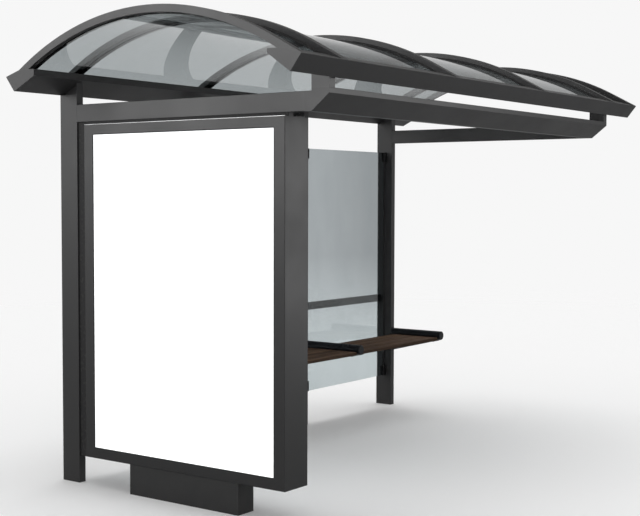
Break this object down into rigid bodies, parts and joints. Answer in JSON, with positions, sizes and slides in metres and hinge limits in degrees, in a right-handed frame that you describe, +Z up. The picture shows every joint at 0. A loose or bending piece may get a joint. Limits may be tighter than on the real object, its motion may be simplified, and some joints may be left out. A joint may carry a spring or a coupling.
{
  "type": "bus shelter",
  "caption": "Open bus shelter with a barrel roof of clear curved sheets, rear posts and glass, slatted bench and a bare end poster case.",
  "frame": {"origin": "on the ground under the middle of the roof (centre of the bounding box's base)", "axes": "+X along the shelter away from the poster case, +Y towards the rear glass, +Z up"},
  "size_m": [4.164, 2.1132, 2.6979],
  "materials": {
    "frame_paint": "satin anthracite powder coat on steel",
    "roof_paint": "satin anthracite powder coat on aluminium",
    "arm_paint": "satin dark blue-grey paint",
    "clamp_black": "matt black",
    "rear_pane": "grey tinted toughened glass",
    "roof_clear": "clear grey polycarbonate sheet",
    "door_pane": "clear acrylic",
    "poster_white": "plain white translucent panel",
    "slat_wood": "oiled dark brown hardwood"
  },
  "bodies": {
    "root": {"back_rail": "frame_paint", "bench_arm_1": "arm_paint", "bench_arm_2": "arm_paint", "bench_arm_3": "arm_paint", "bench_brackets": "frame_paint", "case_body": "roof_paint", "case_door_inner": "roof_paint", "case_door_outer": "roof_paint", "case_hanger": "roof_paint", "case_plinth": "frame_paint", "door_glass_inner": "door_pane", "door_glass_outer": "door_pane", "eave_front": "roof_paint", "eave_rear": "roof_paint", "end_arch_far": "roof_paint", "end_arch_near": "roof_paint", "end_beam_far": "frame_paint", "end_beam_near": "frame_paint", "end_caps": "roof_paint", "front_beam": "frame_paint", "glass_clamps": "clamp_black", "post_heads": "frame_paint", "poster_inner": "poster_white", "poster_outer": "poster_white", "rear_glass_1": "rear_pane", "rear_glass_2": "rear_pane", "rear_glass_3": "rear_pane", "rear_post_1": "frame_paint", "rear_post_2": "frame_paint", "rear_post_3": "frame_paint", "rear_post_4": "frame_paint", "roof_rib_1": "roof_paint", "roof_rib_2": "roof_paint", "roof_rib_3": "roof_paint", "roof_rib_4": "roof_paint", "roof_sheet_1": "roof_clear", "roof_sheet_2": "roof_clear", "roof_sheet_3": "roof_clear", "roof_sheet_4": "roof_clear", "roof_sheet_5": "roof_clear", "roof_stub_far": "frame_paint", "roof_stub_near": "frame_paint", "seat_slats": "slat_wood"}
  },
  "joints": []
}
